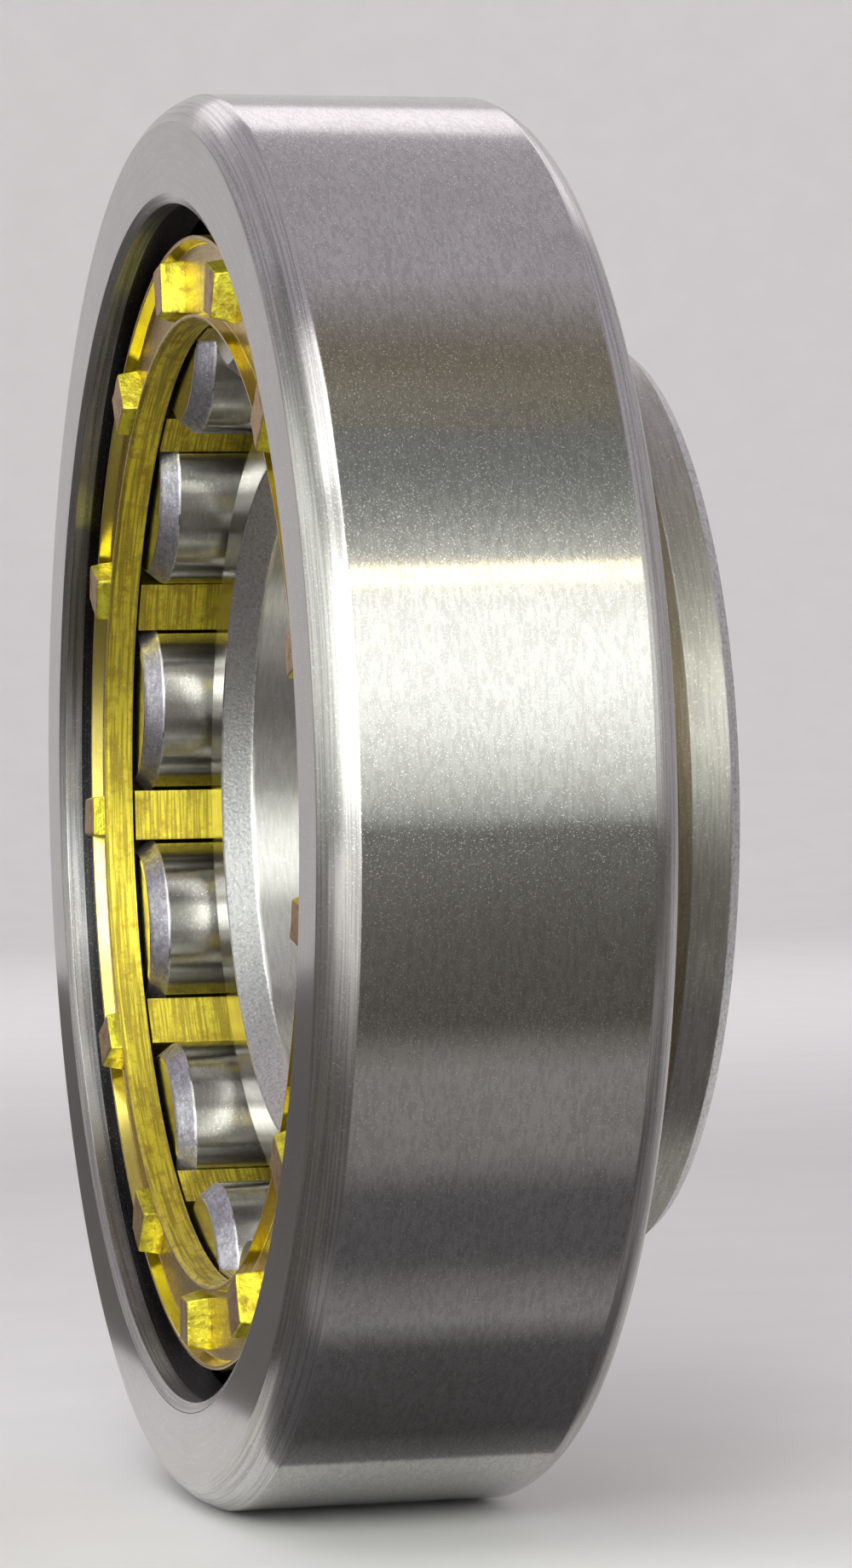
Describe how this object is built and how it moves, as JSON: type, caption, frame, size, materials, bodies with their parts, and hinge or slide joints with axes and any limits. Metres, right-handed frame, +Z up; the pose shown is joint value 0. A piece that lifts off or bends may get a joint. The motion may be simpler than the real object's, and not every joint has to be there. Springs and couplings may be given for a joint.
{
  "type": "cylindrical roller bearing",
  "caption": "Cylindrical roller bearing with a two-rib outer ring, a one-rib inner ring slid part way out, and a riveted machined brass cage round its rollers",
  "frame": {"origin": "middle of the outer ring, on the bearing's axis, where its housing holds it", "axes": "+Y is the bearing's axis, pointing from the grooved cage ring towards the inner ring's rib; +Z is up as the bearing stands on its rim; +X completes a right-handed frame"},
  "size_m": [0.15, 0.0489, 0.15],
  "materials": {
    "outer_ring_steel": "ground and honed bearing steel, satin rim and mirror side faces",
    "inner_ring_steel": "ground bearing steel, turned rib rim and grainy bore chamfers",
    "roller_steel": "polished bearing steel with matt tumbled end chamfers",
    "cage_brass": "turned and milled brass, lightly oiled, with peened tenon heads"
  },
  "bodies": {
    "outer_ring": {"outer_ring": "outer_ring_steel"},
    "inner_ring": {"inner_ring": "inner_ring_steel"},
    "cage": {"cage_body": "cage_brass", "cage_cover": "cage_brass"},
    "roller_01": {"roller_01": "roller_steel"},
    "roller_02": {"roller_02": "roller_steel"},
    "roller_03": {"roller_03": "roller_steel"},
    "roller_04": {"roller_04": "roller_steel"},
    "roller_05": {"roller_05": "roller_steel"},
    "roller_06": {"roller_06": "roller_steel"},
    "roller_07": {"roller_07": "roller_steel"},
    "roller_08": {"roller_08": "roller_steel"},
    "roller_09": {"roller_09": "roller_steel"},
    "roller_10": {"roller_10": "roller_steel"},
    "roller_11": {"roller_11": "roller_steel"},
    "roller_12": {"roller_12": "roller_steel"},
    "roller_13": {"roller_13": "roller_steel"}
  },
  "joints": [
    {"name": "inner_ring_spin", "type": "hinge", "parent": "outer_ring", "child": "inner_ring", "pos_m": [0, 0, 0], "axis": [0, 1, 0], "continuous": true},
    {"name": "cage_spin", "type": "hinge", "parent": "outer_ring", "child": "cage", "pos_m": [0, 0, 0], "axis": [0, 1, 0], "continuous": true},
    {"name": "roller_01_spin", "type": "hinge", "parent": "cage", "child": "roller_01", "pos_m": [-0.05422, 0, 0.01187], "axis": [0, 1, 0], "continuous": true},
    {"name": "roller_02_spin", "type": "hinge", "parent": "cage", "child": "roller_02", "pos_m": [-0.04249, 0, 0.0357], "axis": [0, 1, 0], "continuous": true},
    {"name": "roller_03_spin", "type": "hinge", "parent": "cage", "child": "roller_03", "pos_m": [-0.02103, 0, 0.05136], "axis": [0, 1, 0], "continuous": true},
    {"name": "roller_04_spin", "type": "hinge", "parent": "cage", "child": "roller_04", "pos_m": [0.00525, 0, 0.05525], "axis": [0, 1, 0], "continuous": true},
    {"name": "roller_05_spin", "type": "hinge", "parent": "cage", "child": "roller_05", "pos_m": [0.03032, 0, 0.04649], "axis": [0, 1, 0], "continuous": true},
    {"name": "roller_06_spin", "type": "hinge", "parent": "cage", "child": "roller_06", "pos_m": [0.04845, 0, 0.02707], "axis": [0, 1, 0], "continuous": true},
    {"name": "roller_07_spin", "type": "hinge", "parent": "cage", "child": "roller_07", "pos_m": [0.05548, 0, 0.00145], "axis": [0, 1, 0], "continuous": true},
    {"name": "roller_08_spin", "type": "hinge", "parent": "cage", "child": "roller_08", "pos_m": [0.0498, 0, -0.0245], "axis": [0, 1, 0], "continuous": true},
    {"name": "roller_09_spin", "type": "hinge", "parent": "cage", "child": "roller_09", "pos_m": [0.03271, 0, -0.04483], "axis": [0, 1, 0], "continuous": true},
    {"name": "roller_10_spin", "type": "hinge", "parent": "cage", "child": "roller_10", "pos_m": [0.00813, 0, -0.0549], "axis": [0, 1, 0], "continuous": true},
    {"name": "roller_11_spin", "type": "hinge", "parent": "cage", "child": "roller_11", "pos_m": [-0.01832, 0, -0.05239], "axis": [0, 1, 0], "continuous": true},
    {"name": "roller_12_spin", "type": "hinge", "parent": "cage", "child": "roller_12", "pos_m": [-0.04056, 0, -0.03788], "axis": [0, 1, 0], "continuous": true},
    {"name": "roller_13_spin", "type": "hinge", "parent": "cage", "child": "roller_13", "pos_m": [-0.05352, 0, -0.01469], "axis": [0, 1, 0], "continuous": true}
  ],
  "couplings": [
    {"joint": "cage_spin", "follows": "inner_ring_spin", "ratio": 0.40541},
    {"joint": "roller_01_spin", "follows": "inner_ring_spin", "ratio": -2.5483},
    {"joint": "roller_02_spin", "follows": "inner_ring_spin", "ratio": -2.5483},
    {"joint": "roller_03_spin", "follows": "inner_ring_spin", "ratio": -2.5483},
    {"joint": "roller_04_spin", "follows": "inner_ring_spin", "ratio": -2.5483},
    {"joint": "roller_05_spin", "follows": "inner_ring_spin", "ratio": -2.5483},
    {"joint": "roller_06_spin", "follows": "inner_ring_spin", "ratio": -2.5483},
    {"joint": "roller_07_spin", "follows": "inner_ring_spin", "ratio": -2.5483},
    {"joint": "roller_08_spin", "follows": "inner_ring_spin", "ratio": -2.5483},
    {"joint": "roller_09_spin", "follows": "inner_ring_spin", "ratio": -2.5483},
    {"joint": "roller_10_spin", "follows": "inner_ring_spin", "ratio": -2.5483},
    {"joint": "roller_11_spin", "follows": "inner_ring_spin", "ratio": -2.5483},
    {"joint": "roller_12_spin", "follows": "inner_ring_spin", "ratio": -2.5483},
    {"joint": "roller_13_spin", "follows": "inner_ring_spin", "ratio": -2.5483}
  ]
}
